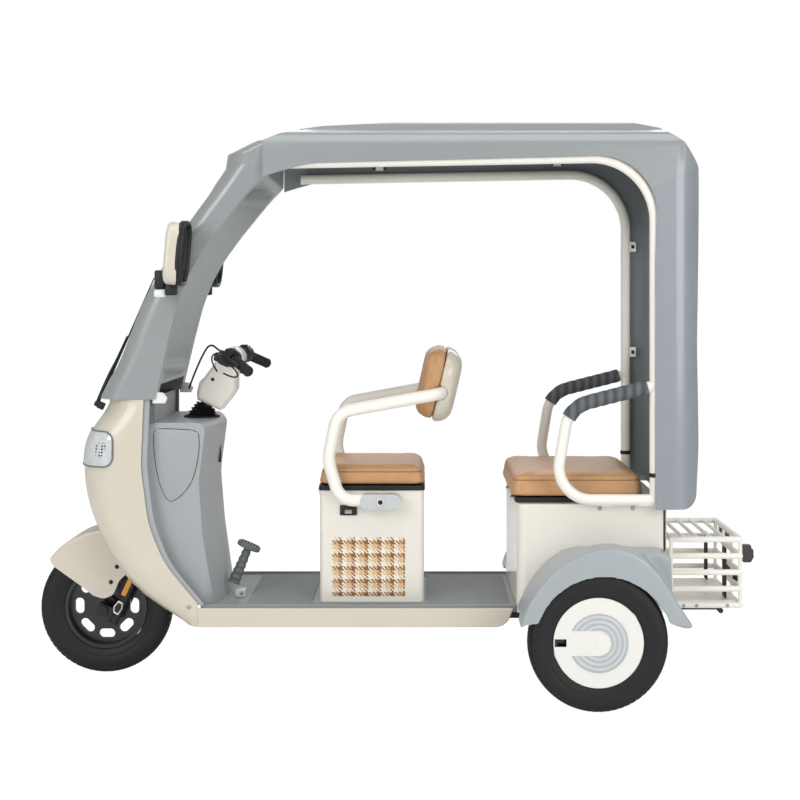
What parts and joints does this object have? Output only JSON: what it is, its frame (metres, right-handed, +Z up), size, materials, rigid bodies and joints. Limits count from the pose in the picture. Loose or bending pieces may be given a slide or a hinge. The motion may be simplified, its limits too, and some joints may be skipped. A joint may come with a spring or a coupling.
{
  "type": "electric passenger tricycle with canopy",
  "caption": "Light electric three-wheeler with handlebar steering, a hard canopy over a driver's seat and a rear bench, open sides and a rear basket.",
  "frame": {"origin": "on the ground, half way along the vehicle, on its middle plane", "axes": "-X to the front of the vehicle, -Y to the driver's left hand, +Z up"},
  "size_m": [2.2488, 1.01, 1.7462],
  "materials": {
    "cream_panel": "painted moulding, satin gloss",
    "cream_tube": "powder coat, satin",
    "silver_grey": "metallic paint on a moulded panel",
    "blue_grey": "moulded panel, satin",
    "shield_grey": "fine grained moulding",
    "floor_grey": "ribbed mat on a moulded floor",
    "dark_lining": "dark inner lining",
    "black_steel": "black powder coat",
    "black_rim": "black paint, semi gloss",
    "black_plastic": "moulded, fine grain",
    "rubber_black": "moulded rubber",
    "foam_black": "closed foam sleeve",
    "tyre_rubber": "tread rubber",
    "white_cover": "gloss moulding",
    "battery_case": "moulded case",
    "tan_cover": "tan synthetic leather, fine grain",
    "clear_glass": "clear pane",
    "mirror_glass": "silvered glass",
    "lamp_clear": "clear lens over a bright reflector",
    "lamp_red": "dark red lens"
  },
  "bodies": {
    "root": {"chassis": "black_steel", "floor_board": "floor_grey", "side_skirts": "cream_panel", "nose_panel": "cream_panel", "head_lamps": "lamp_clear", "inner_shield": "shield_grey", "steering_boot": "rubber_black", "windscreen_frame": "silver_grey", "windscreen": "clear_glass", "wiper": "black_plastic", "mirrors": "cream_panel", "mirror_panes": "mirror_glass", "roof_shell": "silver_grey", "rear_cover": "silver_grey", "canopy_lining": "dark_lining", "rear_window": "clear_glass", "canopy_frame": "cream_tube", "arm_grips": "foam_black", "front_seat_box": "cream_panel", "rear_seat_box": "cream_panel", "battery": "battery_case", "rear_fenders": "blue_grey", "rear_axle": "black_steel", "leaf_springs": "black_steel", "basket": "cream_tube", "basket_floor": "cream_tube", "tail_lamps": "lamp_red", "plate_bracket": "black_steel", "rear_bar": "black_steel", "brake_pedal": "rubber_black"},
    "steering": {"fork": "black_steel", "front_mudguard": "cream_panel", "handlebar": "black_plastic", "grips": "rubber_black", "column_cover": "cream_panel", "instrument_cap": "cream_panel", "brake_cable": "rubber_black"},
    "front_wheel": {"front_tyre": "tyre_rubber", "front_rim": "black_rim"},
    "rear_wheel_left": {"rear_tyre_left": "tyre_rubber", "rear_rim_left": "black_rim", "rear_wheel_cover_left": "white_cover"},
    "rear_wheel_right": {"rear_tyre_right": "tyre_rubber", "rear_rim_right": "black_rim", "rear_wheel_cover_right": "white_cover"},
    "front_seat_lid": {"front_seat_plate": "black_plastic", "front_seat_cushion": "tan_cover"},
    "front_backrest": {"backrest_sockets": "shield_grey", "backrest_frame": "cream_tube", "backrest_shell": "cream_panel", "backrest_pad": "tan_cover"},
    "rear_seat_lid": {"rear_seat_plate": "black_plastic", "rear_seat_cushion": "tan_cover"}
  },
  "joints": [
    {"name": "steering", "type": "hinge", "parent": "root", "child": "steering", "pos_m": [-0.89417, 0, 0.211], "axis": [0.4195, 0, 0.9078], "range_deg": [-35, 35]},
    {"name": "front_wheel_spin", "type": "hinge", "parent": "steering", "child": "front_wheel", "pos_m": [-0.914, 0, 0.211], "axis": [0, 1, 0], "continuous": true},
    {"name": "rear_wheel_left_spin", "type": "hinge", "parent": "root", "child": "rear_wheel_left", "pos_m": [0.608, -0.455, 0.205], "axis": [0, 1, 0], "continuous": true},
    {"name": "rear_wheel_right_spin", "type": "hinge", "parent": "root", "child": "rear_wheel_right", "pos_m": [0.608, 0.455, 0.205], "axis": [0, 1, 0], "continuous": true},
    {"name": "front_seat_lid", "type": "hinge", "parent": "root", "child": "front_seat_lid", "pos_m": [-0.2233, 0, 0.601], "axis": [0, -1, 0], "range_deg": [0, 65]},
    {"name": "front_backrest_flip", "type": "hinge", "parent": "root", "child": "front_backrest", "pos_m": [-0.029, 0, 0.578], "axis": [0, 1, 0], "range_deg": [-45, 0]},
    {"name": "rear_seat_lid", "type": "hinge", "parent": "root", "child": "rear_seat_lid", "pos_m": [0.3797, 0, 0.573], "axis": [0, -1, 0], "range_deg": [0, 60]}
  ]
}
